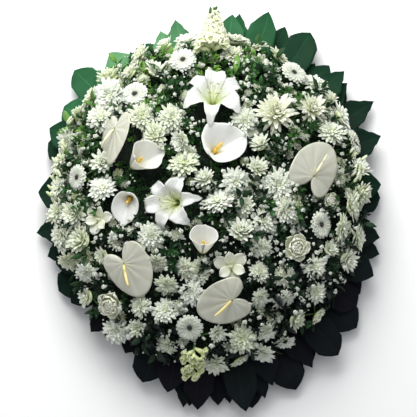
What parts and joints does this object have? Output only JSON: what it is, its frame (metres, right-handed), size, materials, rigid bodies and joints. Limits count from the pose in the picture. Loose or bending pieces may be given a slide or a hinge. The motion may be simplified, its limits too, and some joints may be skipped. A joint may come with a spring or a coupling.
{
  "type": "floral wreath",
  "caption": "Domed funeral wreath of white chrysanthemums, lilies, callas and anthuriums on a round board, with a collar of broad dark green leaves",
  "frame": {"origin": "middle of the backing board's underside", "axes": "X to the wreath's right, Y to its top, Z out of the flower face"},
  "size_m": [0.9611, 1.139, 0.3136],
  "materials": {
    "white_petal": "matte, soft",
    "white_spathe": "satin, waxy",
    "cream_petal": "matte, soft",
    "pale_green_petal": "matte, soft",
    "yellow_spadix": "matte, finely grained",
    "dark_eye": "matte, tufted",
    "stamen": "matte",
    "collar_leaf": "satin, leathery",
    "bed_green": "matte",
    "foam_green": "matte, open-celled",
    "plywood": "raw"
  },
  "bodies": {
    "root": {"anthurium_1_spadix": "yellow_spadix", "anthurium_1_spathe": "white_spathe", "anthurium_2_spadix": "yellow_spadix", "anthurium_2_spathe": "white_spathe", "anthurium_3_spadix": "yellow_spadix", "anthurium_3_spathe": "white_spathe", "anthurium_4_spadix": "yellow_spadix", "anthurium_4_spathe": "white_spathe", "backing_board": "plywood", "calla_1_spadix": "yellow_spadix", "calla_1_spathe": "white_spathe", "calla_2_spadix": "yellow_spadix", "calla_2_spathe": "white_spathe", "calla_3_spadix": "yellow_spadix", "calla_3_spathe": "white_spathe", "calla_4_spadix": "yellow_spadix", "calla_4_spathe": "white_spathe", "chrysanthemum_spray_bottom": "white_petal", "chrysanthemum_spray_centre_right": "white_petal", "chrysanthemum_spray_left": "white_petal", "chrysanthemum_spray_lower_left": "white_petal", "chrysanthemum_spray_right": "white_petal", "chrysanthemum_spray_top_left": "white_petal", "chrysanthemum_spray_top_right": "white_petal", "chrysanthemum_spray_upper_centre": "white_petal", "disbud_1_bloom": "cream_petal", "disbud_2_bloom": "cream_petal", "foam_pad": "foam_green", "gerbera_1_eye": "dark_eye", "gerbera_1_rays": "white_petal", "gerbera_2_eye": "dark_eye", "gerbera_2_rays": "white_petal", "gerbera_3_eye": "dark_eye", "gerbera_3_rays": "white_petal", "gerbera_4_eye": "dark_eye", "gerbera_4_rays": "white_petal", "gerbera_5_eye": "dark_eye", "gerbera_5_rays": "white_petal", "gerbera_6_eye": "dark_eye", "gerbera_6_rays": "white_petal", "gerbera_7_eye": "dark_eye", "gerbera_7_rays": "white_petal", "gladiolus_1_flower": "cream_petal", "gladiolus_2_flower": "cream_petal", "greenery_bed": "bed_green", "gypsophila_lower": "white_petal", "gypsophila_upper": "white_petal", "leaf_branch_left": "collar_leaf", "leaf_branch_lower": "collar_leaf", "leaf_branch_right": "collar_leaf", "lily_1_stamens": "stamen", "lily_1_tepals": "white_petal", "lily_2_stamens": "stamen", "lily_2_tepals": "white_petal", "rose_1_bloom": "cream_petal", "rose_2_bloom": "cream_petal", "rose_3_bloom": "cream_petal", "snapdragon_1_spike": "pale_green_petal", "snapdragon_2_spike": "pale_green_petal"}
  },
  "joints": []
}
